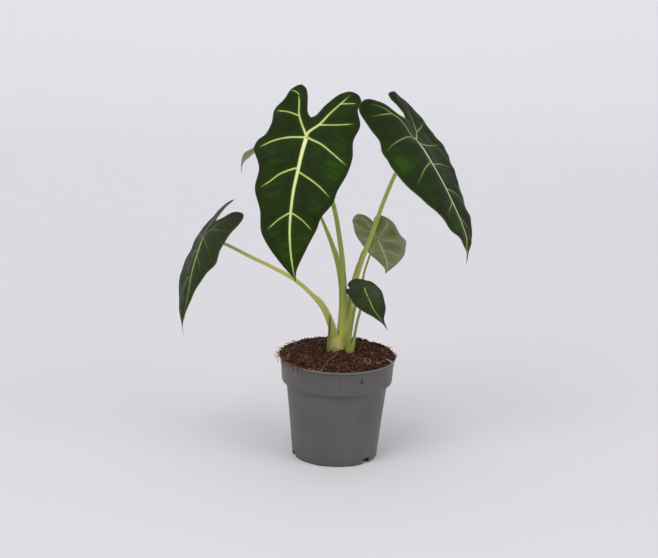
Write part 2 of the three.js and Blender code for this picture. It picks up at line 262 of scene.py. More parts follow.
def leaf_upper():
    """Velvet green with brighter patches, a painted grey sheen, and pale veins that are whitest along their
    middle.
    """
    m = Shader("leaf_upper")
    vein, core, halo, rim, patch, veil = (m.attribute(k) for k in BLADE_TONES if k != "vein_under")
    fine = m.span(m.noise(160, 4, 0.6), 0.3, 0.7)
    green = m.mix(patch, (0.0100, 0.0185, 0.0008), (0.019, 0.062, 0.0008))
    green = m.tint(fine, 0.3, green, (0.006, 0.012, 0.0015))
    # painted sheen: grey mixed into the green where the leaf's soft spots lie
    green = m.mix(veil, green, (0.060, 0.068, 0.034))
    green = m.tint(halo, 0.5, green, (0.022, 0.060, 0.003))
    green = m.tint(rim, 0.45, green, (0.045, 0.070, 0.025))
    edge = m.mix(m.span(m.noise(120, 3), 0.3, 0.7), (0.31, 0.42, 0.085), (0.42, 0.53, 0.15))
    colour = m.mix(vein, green, m.mix(core, edge, (0.76, 0.73, 0.44)))
    pucker = m.cells(210, "SMOOTH_F1")
    skin = m.bump(m.noise(2600, 2), 0.00004)
    normal = m.bump(pucker, 0.0006, 0.3, skin)
    rough = m.span(m.noise(90, 3), 0.3, 0.7, 0.50, 0.64)
    return m.finish(colour, rough, normal, Specular_IOR_Level=0.10, Sheen_Weight=0.036, Sheen_Roughness=0.28)


def leaf_under():
    """Grey-green with a fine net, greener where the upper side has its patches, and pale ribs."""
    m = Shader("leaf_under")
    vein, halo, patch = (m.attribute(k) for k in ("vein_under", "halo", "patch"))
    broad = m.span(m.noise(38, 3), 0.35, 0.65)
    tone = m.mix(broad, (0.205, 0.235, 0.105), (0.305, 0.335, 0.195))
    tone = m.tint(patch, 0.9, tone, (0.098, 0.152, 0.028))
    tone = m.tint(m.span(m.noise(420, 3), 0.35, 0.65), 0.25, tone, (0.14, 0.19, 0.075))
    tone = m.tint(halo, 0.5, tone, (0.33, 0.37, 0.20))
    colour = m.mix(vein, tone, (0.54, 0.57, 0.31))
    net = m.cells(330, "DISTANCE_TO_EDGE")
    skin = m.bump(m.noise(1800, 2), 0.00005)
    normal = m.bump(m.span(net, 0, 0.12), 0.0002, 0.4, skin)
    rough = m.span(m.noise(70, 2), 0.3, 0.7, 0.5, 0.62)
    return m.finish(colour, rough, normal, Specular_IOR_Level=0.3)


def stem_skin(name, low, green, pale, spot, rib, rise=(0.02, 0.3)):
    """Fleshy skin, finely ribbed: low at the foot, and above it from green to pale by the stem's tone."""
    m = Shader(name)
    share, around, tone = (m.attribute(k) for k in ("share", "around", "tone"))
    lines = m.noise(26, 3, 0.6, m.node("CombineXYZ", 0, {"X": m.times(around, 1.4), "Y": share}))
    colour = m.mix(m.span(share, *rise), low, m.mix(tone, green, pale))
    colour = m.tint(m.span(m.noise(300, 4, 0.6), 0.5, 0.75), 0.18, colour, spot)
    colour = m.tint(m.span(lines, 0.45, 0.7), 0.35, colour, rib)
    normal = m.bump(lines, 0.00018, 0.5, m.bump(m.noise(1400, 2), 0.00003))
    rough = m.span(m.noise(150, 3), 0.3, 0.7, 0.34, 0.46)
    flesh = {"Subsurface_Weight": 0.15, "Subsurface_Radius": (1.0, 1.0, 0.3), "Subsurface_Scale": 0.002}
    return m.finish(colour, rough, normal, Specular_IOR_Level=0.4, **flesh)


def pot_plastic():
    """Matt grey plastic with faint streaks, a painted highlight along the top of the lip, and dust near the
    foot.
    """
    m = Shader("pot_plastic")
    height = m.node("SeparateXYZ", "Z", {"Vector": m.place()})
    grain = m.noise(3200, 2)
    cloud = m.span(m.noise(28, 4, 0.6), 0.3, 0.7)
    streak = m.span(m.noise(120, 3, 0.6, m.stretch(1, 1, 0.06)), 0.52, 0.72)
    colour = m.mix(cloud, (0.077, 0.0725, 0.0715), (0.092, 0.0875, 0.0865))
    colour = m.tint(streak, 0.2, colour, (0.125, 0.121, 0.122))
    # painted highlight: the rounded top of the lip is paler
    lip = m.span(height, 0.1052, 0.1063)
    colour = m.tint(lip, 0.5, colour, (0.17, 0.168, 0.172))
    dust = m.span(m.noise(900, 4, 0.7), 0.63, 0.72)
    low = m.span(height, 0.03, 0.0)
    colour = m.tint(dust, m.times(low, 0.5), colour, (0.16, 0.11, 0.075))
    rough = m.span(m.noise(60, 4), 0.3, 0.7, 0.42, 0.52)
    normal = m.bump(grain, 0.00003, 0.6, m.bump(cloud, 0.0003, 0.3))
    return m.finish(colour, rough, normal, Specular_IOR_Level=0.45)


def earth():
    """Dark lumpy mix with red-brown and golden bits."""
    m = Shader("earth")
    lumps = m.span(m.noise(170, 4, 0.65), 0.3, 0.7)
    fine = m.span(m.noise(700, 4, 0.7), 0.35, 0.68)
    colour = m.mix(lumps, (0.010, 0.005, 0.0035), (0.058, 0.022, 0.012))
    colour = m.tint(fine, 0.5, colour, (0.10, 0.038, 0.020))
    golden = m.span(m.noise(420, 5, 0.7, m.stretch(1, 3, 1)), 0.62, 0.70)
    colour = m.tint(golden, 0.45, colour, (0.22, 0.13, 0.06))
    normal = m.bump(m.noise(900, 5, 0.7), 0.0014, 1.0)
    return m.finish(colour, 0.92, normal, Specular_IOR_Level=0.12)


def toned(name, dark, middle, light):
    """Loose matter whose pieces each have a tone of their own."""
    m = Shader(name)
    tone = m.attribute("tone")
    colour = m.mix(m.span(tone, 0.4, 1), m.mix(m.span(tone, 0, 0.5), dark, middle), light)
    colour = m.tint(m.span(m.noise(900, 3), 0.4, 0.7), 0.35, colour, dark)
    return m.finish(colour, 0.85, m.bump(m.noise(1500, 3), 0.0003, 0.6), Specular_IOR_Level=0.2)


def papery(name, low, high, rim):
    """Dry sheath tissue with lines along it, rim-coloured towards its free edge."""
    m = Shader(name)
    lines = m.noise(90, 4, 0.6, m.stretch(5, 5, 0.5))
    colour = m.mix(m.span(lines, 0.35, 0.65), low, high)
    colour = m.tint(m.attribute("share"), 0.7, colour, rim)
    return m.finish(colour, 0.6, m.bump(lines, 0.0004, 0.5), Specular_IOR_Level=0.25)


UPPER, UNDER = leaf_upper(), leaf_under()
STEM = stem_skin(
    "stem_skin", (0.43, 0.43, 0.09),
    (0.26, 0.325, 0.050), (0.44, 0.46, 0.10), (0.28, 0.25, 0.08), (0.41, 0.46, 0.10),
)
SIDE_STEM = stem_skin(
    "side_stem_skin", (0.19, 0.235, 0.022),
    (0.29, 0.335, 0.070), (0.210, 0.275, 0.052), (0.16, 0.21, 0.04), (0.27, 0.33, 0.08),
)
SPEAR = stem_skin(
    "spear_skin", (0.17, 0.215, 0.022),
    (0.050, 0.085, 0.010), (0.050, 0.085, 0.010), (0.05, 0.095, 0.015), (0.11, 0.16, 0.025), (0.38, 0.62),
)
PLASTIC, EARTH = pot_plastic(), earth()
SCALE = papery("corm_scale", (0.30, 0.24, 0.10), (0.50, 0.42, 0.22), (0.34, 0.17, 0.08))
MARGIN = papery("sheath_margin", (0.50, 0.50, 0.20), (0.66, 0.62, 0.36), (0.66, 0.56, 0.38))
BROWN_MARGIN = papery("brown_margin", (0.40, 0.40, 0.14), (0.52, 0.46, 0.22), (0.36, 0.20, 0.09))
FLAP = papery("green_margin", (0.50, 0.54, 0.13), (0.58, 0.60, 0.18), (0.62, 0.60, 0.26))
NECK = papery("neck_scale", (0.36, 0.28, 0.11), (0.50, 0.43, 0.19), (0.33, 0.24, 0.10))
SHEATH = stem_skin(
    "sheath_skin", (0.64, 0.54, 0.22),
    (0.43, 0.46, 0.085), (0.43, 0.46, 0.085), (0.48, 0.36, 0.14), (0.60, 0.57, 0.19), (0.15, 0.9),
)
INNER_SHEATH = stem_skin(
    "inner_sheath_skin", (0.47, 0.48, 0.090),
    (0.36, 0.41, 0.064), (0.36, 0.41, 0.064), (0.42, 0.37, 0.09), (0.50, 0.52, 0.12), (0.0, 0.8),
)
SIDE_SHEATH = stem_skin(
    "side_sheath_skin", (0.23, 0.24, 0.030),
    (0.195, 0.225, 0.022), (0.195, 0.225, 0.022), (0.17, 0.20, 0.025), (0.26, 0.29, 0.05),
)
CRUMB = toned("crumb", (0.008, 0.004, 0.003), (0.065, 0.022, 0.012), (0.20, 0.075, 0.040))
FIBRE = toned("fibre", (0.030, 0.012, 0.007), (0.17, 0.065, 0.033), (0.46, 0.31, 0.16))

# ---------------- leaf blades

# Millimetres in a blade's plane: how round its fold and its shoulder are, the samples' spacing along the
# margin of a large and of a small blade, the inner row of vertices along the margin, the soft edge of a vein,
# the grid's room to both, and how thick the blade is at its margin and how much more inside.
CREASE, SHOULDER = 3, 5
LARGE_BLADE, LARGE_GRAIN, SMALL_GRAIN = 90, 1.5, 1.1
INNER_ROW, ROW_ROOM, SOFT, VEIN_ROOM, GRID_ROOM = 0.8, 0.7, 0.35, 0.5, 1.3
THIN, THICKER = 0.45, 0.35
# The grid's spacing in grains, and how far its points stray.
GRID, STRAY = 1.25, 0.3
# How far from the margin a vein's rows end, and the half width above which a vein gets two more rows.
VEIN_END, BROAD_VEIN = 0.6, 1.1


def blade_frame(leaf):
    """The blade's place: its plane's right, its way back from the tip, and its upper side."""
    a, d, r = (radians(leaf[k]) for k in ("heading", "dip", "roll"))
    up = Vector((-cos(d) * cos(a), -cos(d) * sin(a), sin(d)))
    level = Vector((sin(d) * cos(a), sin(d) * sin(a), cos(d)))
    out = level * cos(r) + level.cross(up) * sin(r)
    right = up.cross(out)
    return Matrix.Translation(Vector(leaf["path"][-1])) @ Matrix((right, up, out)).transposed().to_4x4()


def blade_height(leaf, x, y):
    """How far the blade stands over its plane."""
    side = 0 if x < 0 else 1
    rise = hypot(x, CREASE) - CREASE
    shoulder = hypot(y, SHOULDER) - SHOULDER
    bend = leaf["droop"] if y < 0 else leaf["back"]
    bent_from, hook = leaf.get("hook", (0, 0))
    across = leaf["fold"][side] * rise - leaf["arch"][side] * x * x
    return across - bend * y * y - leaf.get("ridge", 0) * shoulder - hook * max(0, bent_from - y) ** 2


# The leaves. A blade's tip points along heading, dips below the level, and rolls about its own length. fold
# and arch shape its left and right side across, droop and back bend it below and above the joint with the
# stem, and ridge and hook crease it there and near the tip. right and left are its margins from notch to tip,
# and a vein is (half width at its start, at its end, line), the midrib first, in the blade's plane with the
# joint at 0 0 and the tip down. pale and ribs: how strong the midrib and the other veins show above and below.
# fade: from what share and how much they fade. glow and veil: soft spots (x, y, radius, strength) of brighter
# green and of painted grey sheen. path is the stem from crown to joint, radii its radius by share, and tone
# its colour, 0 green to 1 pale.
LEAVES = {}
LEAVES["centre_leaf"] = dict(
    heading=-92, dip=62, roll=0, fold=(0.12, 0.12), arch=(0.002, 0.002), droop=0.0012, back=0.001,
    pale=(1, 0.95), ribs=(0.8, 0.6), tone=0.05,
    glow=[
        (31, -33, 13, 1), (-14, -116, 15, 0.9), (7, -104, 11, 0.7), (30, -5, 11, 0.4), (-30, -28, 12, 0.3),
        (-27, -64, 12, 0.35), (20, -68, 10, 0.4),
    ],
    right="3 20, 8 22, 17 33, 30 45, 41 48, 49 45, 52 38, 49 29, 52 13, 46 -3, 46 -20, 42 -35, 33 -53, "
     "29 -65, 18 -80, 14 -91, 5 -110, -4 -131, -4 -141",
    left="3 20, 0 25, -1 42, -3 50, -8 54, -17 49, -24 37, -33 26, -35 12, -40 1, -48 -6, -51 -14, -45 -33, "
     "-48 -54, -42 -75, -40 -95, -33 -108, -19 -125, -8 -136, -4 -141",
    veins=[
        (1.91, 0.56, "0 0, -3.6 -15.6, -6.9 -34.9, -10.3 -55.3, -11.9 -76, -12.1 -93.7, -10.6 -111.8, "
         "-7.9 -126.8, -5.2 -139"),
        (1.11, 0.39, "0 0, -1.7 3.9, -8.4 21.7, -9 33.9, -9.9 43.9"),
        (0.66, 0.31, "-8.4 20.9, -18.6 24.1, -30.2 25.1"),
        (1.26, 0.39, "0 0, 1.2 4.1, 11.7 12.6, 21.9 24.2, 31.6 34.6, 39.8 43.5"),
        (0.66, 0.31, "11.7 12.2, 28.3 12.6, 44.1 14.3"), (0.52, 0.27, "31.6 34.6, 46 35.8"),
        (0.89, 0.39, "-0.3 0, -2.2 -0.6, -17.2 -1.8, -32.9 -6, -44.8 -12.3"),
        (0.89, 0.39, "0.3 0, 3 -1.9, 14.8 -7.6, 26.8 -16.9, 39.5 -27.3"),
        (0.82, 0.31, "-6.6 -32.5, -8.5 -32.3, -24 -38.7, -33.7 -46.4, -41.4 -51.7"),
        (0.82, 0.31, "-7 -35.5, -5.4 -36.2, 5 -42.3, 15.4 -50, 24.2 -58.7"),
        (0.66, 0.27, "-11.9 -75.5, -12.9 -76.1, -23.4 -83, -32.7 -91.9"),
        (0.66, 0.27, "-12 -76, -10 -76.7, -0.4 -82.5, 8.3 -90.7"),
        (0.34, 0.15, "-9.8 43.5, -14 46.5, -17 47"),
    ],
    path="3 -2 111.3, 3.6 -2.5 130, 4.9 -4 167, 2.6 -7 200, -0.7 -11 226, -9.4 -22 271, -22 -34 307, "
     "-38 -50 346",
    radii=[(0, 3.4), (0.25, 2.9), (0.6, 2.3), (1, 1.9)],
)
LEAVES["right_leaf"] = dict(
    heading=-48.6, dip=35.7, roll=-35, fold=(-0.045, 0.108), arch=(0.0104, -0.0026), droop=0.0014,
    back=-0.004, pale=(0.95, 0.62), ribs=(0.8, 0.6), fade=(0.5, 0.75), tone=0.9,
    glow=[(-45, -34, 10, 1.8), (-46, -12, 8, 0.6), (-12, -106, 10, 0.7), (-32, -66, 12, 0.3)],
    right="2 27, 5 34, -4 41, -13 46, -17 51, -10 54, 5 55, 20 52, 36 43, 48 26, 54 8, 52 -8, 46 -26, "
     "38 -50, 34 -72, 29 -92, 22 -112, 10 -125, -2 -136, -10 -146",
    left="2 27, -10 29, -22 38, -33 44, -45 48, -50 43, -50 28, -47 6, -48 -4, -51 -18, -50 -40, -46 -60, "
     "-38 -78, -30 -95, -20 -112, -8 -124, -3 -130, -10 -146",
    veins=[
        (2.35, 0.55, "0 0, 3.4 -8.4, 1.6 -29.3, 2.3 -49.8, 3.9 -76.5, 5.9 -91.8, 7.2 -109.5, 3.5 -123.5, "
         "-9.4 -144"),
        (0.79, 0.25, "0 0, -6.1 4, -6.5 14, -13.7 22.9, -21.1 28.4, -29.8 36.1, -39 41.3"),
        (0.43, 0.19, "-20.9 28.6, -33.8 28.8, -42.6 28.8"),
        (0.86, 0.25, "0 0, 7.9 5.2, 16.7 14.3, 20.7 29.2, 19.3 39.1, 17 47"),
        (0.49, 0.19, "17.4 15, 32.6 23.7, 42.1 31.9"),
        (0.61, 0.22, "0 0, -5.6 -1, -13.5 0, -29.3 -4.4, -39.7 -8.8, -45.8 -13.2"),
        (0.61, 0.22, "0.5 -0.5, 6 -3, 27.2 -1.5, 49.4 3.2"),
        (0.54, 0.19, "1.6 -29, -3.1 -31.7, -19.9 -41.4, -29.5 -50, -36.4 -57.7"),
        (0.54, 0.19, "1.6 -32, 4 -32, 24.1 -27.1, 40.6 -29.5"),
        (0.49, 0.19, "3.9 -77, 2.2 -78.4, -10.4 -88.4, -16.1 -94.5"),
        (0.49, 0.19, "3 -61, 7.1 -61.6, 20.3 -63.4, 30 -70"), (0.3, 0.13, "6 -93, 13 -98, 19 -106"),
    ],
    path="8.5 4.5 111.3, 9 5 138, 11 6 158, 16 8 186, 21 10 204, 31 13 234, 42 14 269, 53 12 299, 71 5 335",
    radii=[(0, 3.3), (0.25, 3.2), (0.42, 2.4), (1, 1.8)],
)
LEAVES["left_leaf"] = dict(
    heading=-136.4, dip=51.9, roll=34.9, fold=(0.062, -0.358), arch=(-0.0011, 0.0065), droop=0.0033,
    back=0.0039, pale=(0.6, 0.24), ribs=(0.7, 0.5), fade=(0.25, 0.97), wave=0.5, tone=0.95,
    glow=[(0, -40, 20, 0.15)],
    veil=[(-10, -20, 26, 0.34), (4, -62, 22, 0.34), (-14, 20, 18, 0.3), (20, 0, 40, 0.24)],
    right="4 20, 10 25, 17 34, 27 36, 33 30, 33 12, 32 -8, 33 -22, 27 -35, 20 -50, 12 -66, 4 -80, 0 -90, "
     "2 -97",
    left="4 20, -4 30, -11 42, -15 52, -22 52, -31 47, -33 40, -26 30, -28 18, -32 8, -31 -3, -28 -14, "
     "-32 -27, -31 -46, -26 -58, -12 -77, -3 -88, 2 -97",
    veins=[
        (1.05, 0.3, "0 0, 4.4 -14, 6.3 -29.3, 7.2 -41.7, 7.9 -52.7, 6.3 -65.4, 4.9 -72, 1.9 -95"),
        (0.54, 0.22, "0 0, 5.7 7.5, 10.2 15.7, 14.7 21.2, 21.2 26.8"),
        (0.34, 0.19, "7 8.5, 16.5 10.5, 26.5 12"), (0.54, 0.22, "0 0, -4 4, -9.5 12, -12 24, -19 38, -25 44"),
        (0.41, 0.19, "0 -0.4, -16 2, -29 6"), (0.41, 0.19, "4.6 -15, -4 -15, -15.6 -16.5, -25 -20"),
        (0.41, 0.19, "7.3 -42, -0.3 -46, -12 -52, -21 -60"),
        (0.41, 0.19, "0.4 -0.6, 6.3 -3.4, 16.8 -10.9, 25 -17.9"),
        (0.34, 0.19, "5.6 -22, 9.2 -23.5, 15.7 -31, 21.2 -38.5"), (0.27, 0.15, "7.9 -54, 11 -58, 13 -61"),
    ],
    path="-4.3 -2 111.3, -5.2 -3 129, -10.5 -5 146, -18 -7 161, -30 -9 175, -46 -11 189, -67 -13 201, "
     "-92 -15 213, -118 -17 226, -139 -20 233",
    radii=[(0, 3.4), (0.12, 3.4), (0.35, 2.2), (1, 1.5)],
)
LEAVES["rear_leaf"] = dict(
    heading=190, dip=33, roll=36, fold=(0.3, 0.3), arch=(0.004, 0.004), droop=0.003, back=0.001,
    hook=(-32, 0.05), pale=(0.9, 0.6), ribs=(0.8, 0.25), tone=0.2,
    glow=[(-8, -20, 14, 0.7)],
    right="0 8, 3 15, 8 18, 12 14, 12 6, 8 -5, 6 -15, 7 -25, 8 -32, 4 -40, 0 -46",
    left="0 8, -4 16, -10 19, -15 15, -17 6, -18 -5, -17.5 -17, -14 -27, -9 -34, -4 -40, 0 -46",
    veins=[
        (0.9, 0.3, "0 0, 0.4 -16, 0 -32, 0 -44.5"), (0.6, 0.25, "0 0, 4 7, 7 13"),
        (0.6, 0.25, "0 0, -5 8, -9 14"), (0.5, 0.2, "0 0, 5 -1, 8 -3"), (0.5, 0.2, "0 0, -8 -1, -15 -4"),
        (0.5, 0.2, "0.3 -12, 3 -15, 5 -19"), (0.5, 0.2, "0.3 -12, -8 -16, -13 -21"),
        (0.4, 0.2, "0.1 -26, 4 -29, 6 -32"), (0.4, 0.2, "0.1 -26, -4 -29, -8 -32"),
    ],
    path="0.6 6.6 111.5, 2.2 8 143, 1.6 8.5 175, -2.7 9 201, -8.6 10 219, -14.8 12 234, -22 15 249, "
     "-37 20 279, -55 25 306, -74.5 28.7 328",
    radii=[(0, 3), (0.4, 2.8), (0.58, 1.6), (1, 1.2)],
)
LEAVES["back_leaf"] = dict(
    heading=75, dip=60, roll=0, fold=(0.1, 0.1), arch=(0.004, 0.004), droop=0.002, back=0, pale=(0.9, 0.7),
    ribs=(0.95, 0.4), tone=0.1,
    glow=[(-11, 13, 16, 2.0), (-16, -9, 12, 0.9), (14, 21, 12, 1.9), (2, 15, 10, 1.6)],
    right="2 23, 6 28, 12 32, 19 32, 24 24, 24 15, 22 0, 17 -12, 10 -23, 1 -32, -5 -39, -5 -47",
    left="2 23, 0 30, -4 34, -12 31, -20 23, -25 11, -31 3, -30 -6, -27 -20, -20 -31, -11 -40, -5 -47",
    veins=[
        (0.8, 0.3, "0 0, -0.5 -1.7, -3.4 -11.3, -6 -21.5, -8.1 -30.6, -8 -38.8, -5.2 -46"),
        (0.5, 0.25, "0 0, 4.6 13, 9.8 23, 15.4 27.7"), (0.5, 0.2, "1 1, 5.8 8.2, 12.4 9.9, 21.3 15.4"),
        (0.5, 0.25, "0 0, -7 12, -12 20, -13 26"), (0.5, 0.2, "0 -0.5, 9.4 -1.5, 17.7 -2.6"),
        (0.5, 0.2, "0 -0.5, -11 -1.1, -22 -0.6"), (0.45, 0.2, "-4.4 -15, -6.4 -15.4, -13 -18.1, -21.7 -21.8"),
        (0.45, 0.2, "-4.2 -14, 3 -17, 9 -21"), (0.35, 0.2, "-8 -30, -12 -32, -15 -35"),
    ],
    path="13 -10.6 111.9, 14.6 -9.4 121, 16.8 -5.5 131, 19 2 143, 22 7 155, 23 13 174, 24 18 188, "
     "28 24 202, 33 29 216, 37 35 223",
    radii=[(0, 3.1), (0.08, 2.7), (0.16, 1.5), (1, 1)],
)
LEAVES["front_leaf"] = dict(
    heading=-35, dip=25, roll=20, fold=(0.08, 0.08), arch=(0.004, 0.004), droop=0.001, back=0, ridge=0.7,
    pale=(0.85, 0.04), ribs=(0.6, 0.2), fade=(0.45, 0.95), tone=0.9,
    glow=[(-6, 9, 15, 0.6), (0, -14, 18, 0.5)],
    veil=[(0, 10, 16, 0.55), (10, -8, 12, 0.4), (0, -6, 30, 0.28)],
    right="-8 12, -3 19, 4 22, 9 21, 12.5 14, 12 7, 11.5 0, 12.5 -6, 14 -12, 12 -18, 8 -25, 3 -29, -1 -32, "
     "-2.5 -40.5",
    left="-8 12, -11 14.5, -16 11, -19.5 5, -22.5 -1.5, -22.5 -6.5, -18.5 -15.5, -12 -25.5, -8.5 -30, "
     "-5 -34, -2.5 -40.5",
    veins=[
        (0.44, 0.24, "-0.5 0, -3 -4, -4 -8, -5 -13, -6.3 -18.5, -6.3 -24, -5.5 -28, -2.9 -39"),
        (0.3, 0.15, "-0.5 0, 9 -4"), (0.3, 0.15, "-4.2 -9, 9 -15"), (0.3, 0.15, "-1 -0.5, -17 -4"),
        (0.3, 0.15, "-4.4 -10, -17 -14"), (0.3, 0.15, "-0.5 0, 6 15"), (0.3, 0.15, "-0.5 0, -13 8"),
    ],
    path="10 -12.2 111.3, 11 -12.4 125, 12.5 -13.4 140, 15 -16 160, 19 -19 176, 25 -22 186",
    radii=[(0, 2.2), (0.5, 2.1), (0.8, 1.4), (1, 1.1)],
)

for leaf_data in LEAVES.values():
    leaf_data.update({key: polyline(leaf_data[key]) for key in ("right", "left", "path")})
    leaf_data["veins"] = [(w0, w1, polyline(text)) for w0, w1, text in leaf_data["veins"]]


def vein_width(w0, w1, s):
    """Half the width of a vein: a taper that draws to a point."""
    return (w0 + (w1 - w0) * s**0.85) * (0.3 + 0.7 * min(1, (1 - s) / 0.12))


def tree_of(spots):
    tree = kdtree.KDTree(len(spots))
    for i, p in enumerate(spots):
        tree.insert(p.to_3d(), i)
    tree.balance()
    return tree


class Plan:
    """A blade's plan in its own plane: its margin, its veins, and where the vertices go."""

    def __init__(self, leaf):
        self.leaf = leaf
        self.grain = LARGE_GRAIN if leaf["right"][-1][1] < -LARGE_BLADE else SMALL_GRAIN
        right, left = (resample(smooth(leaf[k], 300), self.grain) for k in ("right", "left"))
        self.loop = [p.to_2d() for p in right + left[::-1][1:-1]]
        self.veins = []  # spot, half width, how much is left of its colour, and 0 on the midrib or else 1
        fade_from, fade = leaf.get("fade", (0.85, 0.6))
        for k, (w0, w1, points) in enumerate(leaf["veins"]):
            line = resample(smooth(points, 120), 0.5)
            for i, p in enumerate(line):
                s = i / (len(line) - 1)
                left_over = 1 - fade * step(fade_from, 1, s)
                self.veins.append((p.to_2d(), vein_width(w0, w1, s), left_over, min(k, 1)))
        self.vein_tree, self.edge_tree = tree_of([p for p, *_ in self.veins]), tree_of(self.loop)

    def near_vein(self, p):
        """The distance from the closest vein's edge, below zero inside, and that vein's sample."""
        return min((d - self.veins[i][1], i) for _, i, d in self.vein_tree.find_n(p.to_3d(), 8))

    def off_edge(self, p):
        return self.edge_tree.find(p.to_3d())[2]

    def inside(self, p):
        hit = False
        for i, a in enumerate(self.loop):
            b = self.loop[i - 1]
            if (a.y > p.y) != (b.y > p.y) and p.x < (b.x - a.x) * (p.y - a.y) / (b.y - a.y) + a.x:
                hit = not hit
        return hit

    def vertices(self, dice):
        """The margin, a row inside it, rows along the veins, a loose grid, and the edges to keep."""
        loop, n = self.loop, len(self.loop)
        points, edges = list(loop), [(i, (i + 1) % n) for i in range(n)]
        for i in range(n):
            across = (loop[(i + 1) % n] - loop[i - 1]).normalized()
            inner = loop[i] + Vector((-across.y, across.x)) * INNER_ROW
            if self.off_edge(inner) > ROW_ROOM and self.inside(inner):
                points.append(inner)
        for w0, w1, line in self.leaf["veins"]:
            line = [p.to_2d() for p in resample(smooth(line, 120), 1.0)]
            rows = {}
            for i, p in enumerate(line):
                along = (line[min(i + 1, len(line) - 1)] - line[max(i - 1, 0)]).normalized()
                side = Vector((-along.y, along.x))
                w = vein_width(w0, w1, i / (len(line) - 1))
                inner = (-0.55 * w, 0.55 * w) if w > BROAD_VEIN else ()
                for k, offset in enumerate((0, -w, w, -w - SOFT, w + SOFT, *inner)):
                    q = p + side * offset
                    clear = k == 0 or self.near_vein(q)[0] > abs(offset) - w - 0.1
                    if self.off_edge(q) > VEIN_END and self.inside(q) and clear:
                        points.append(q)
                        if k in (1, 2) and rows.get(k) == i - 1:
                            edges.append((rows[k, "at"], len(points) - 1))
                        rows[k], rows[k, "at"] = i, len(points) - 1
        xs, ys = [p.x for p in loop], [p.y for p in loop]
        spacing = self.grain * GRID
        y = min(ys)
        while y < max(ys):
            x = min(xs)
            while x < max(xs):
                stray = dice.uniform(-STRAY, STRAY) * spacing, dice.uniform(-STRAY, STRAY) * spacing
                q = Vector((x + stray[0], y + stray[1]))
                off_veins = self.near_vein(q)[0] > SOFT + VEIN_ROOM
                if self.off_edge(q) > GRID_ROOM and off_veins and self.inside(q):
                    points.append(q)
                x += spacing
            y += spacing
        return points, edges


def soft_spots(leaf, key, p):
    """The leaf's soft spots (x, y, radius, strength) summed at a point."""
    return sum(v * exp(-(((p.x - x) ** 2 + (p.y - y) ** 2) / r**2)) for x, y, r, v in leaf.get(key, ()))


def blade(name, leaf, seed):
    """The blade as one thin shell with a rib under each vein, and at each vertex what its colours need."""
    plan = Plan(leaf)
    points, edges = plan.vertices(random.Random(seed))
    flat, _, tris, *_ = delaunay_2d_cdt(points, edges, [], 1, 1e-4)
    place = blade_frame(leaf)
    tops, bottoms = [], []
    tones = {k: [] for k in BLADE_TONES}
    for p in flat:
        (d, i), e = plan.near_vein(p), plan.off_edge(p)
        _, w, left_over, side_vein = plan.veins[i]
        thick = THIN + THICKER * step(0, 10, e)
        lamina = 1 - exp(-((max(d, 0) / 5.5) ** 2))
        wave = perlin(p.x * 0.06, p.y * 0.06, seed) * 2.4 * (1 - step(0, 16, e)) * leaf.get("wave", 1)
        crumple = perlin(p.x * 0.13, p.y * 0.13, seed + 7) * 0.5
        middle = blade_height(leaf, p.x, p.y) + wave + (crumple + 1.0) * lamina * step(0, 9, e)
        rib = 0 if d > 0 else 0.55 * sqrt(min(1, -d / 0.8)) + 0.35 * min(1, -d / 1.5)
        tops.append(place @ Vector((p.x, p.y, middle + thick / 2)))
        bottoms.append(place @ Vector((p.x, p.y, middle - thick / 2 - rib)))

        cover = (1 - step(0.02, SOFT, d)) * left_over
        joint_spot = 0.4 * exp(-((p.length / 2.6) ** 2))
        streak = perlin(abs(p.x) * 0.05, (p.y + 0.45 * abs(p.x)) * 0.33, seed + 20)
        cloud = perlin(p.x * 0.05, p.y * 0.05, seed + 30)
        glow = soft_spots(leaf, "glow", p) * (0.75 + 0.7 * streak)
        glow = glow + 0.3 * step(0.05, 0.6, streak) + 0.3 * step(0.1, 0.7, cloud)
        for key, value in (
            ("vein", cover * leaf["pale"][side_vein]),
            ("vein_under", cover * leaf["ribs"][side_vein]),
            ("core", step(0.25, 0.95, -d) * (0.45 + 0.55 * step(0.7, 1.3, w)) * (1 - joint_spot)),
            ("halo", exp(-max(d, 0) / 2.2) * leaf["pale"][side_vein]),
            ("rim", 1 - step(0, 1, e)),
            ("patch", min(1, max(0, glow)) * step(0, 7, e) * (0.35 + 0.65 * lamina)),
            # painted grey sheen, where the leaf's soft spots lie
            ("veil", min(1, soft_spots(leaf, "veil", p)) * (0.85 + 0.5 * cloud + 0.3 * streak)),
        ):
            tones[key].append(value)
    m = len(flat)
    faces = [tuple(t) for t in tris]
    used = {(a, b) for t in faces for a, b in zip(t, t[1:] + t[:1])}
    under = [tuple(i + m for i in t[::-1]) for t in faces]
    wall = [(b, a, a + m, b + m) for a, b in used if (b, a) not in used]
    make(
        name + "_surface", tops + bottoms, faces + under + wall, [UPPER, UNDER], [name + "_blade"],
        {k: v * 2 for k, v in tones.items()}, [0] * len(faces) + [1] * (len(under) + len(wall)),
    )


for k, (leaf_name, leaf_data) in enumerate(LEAVES.items()):
    blade(leaf_name, leaf_data, k + 1)

# ---------------- stems


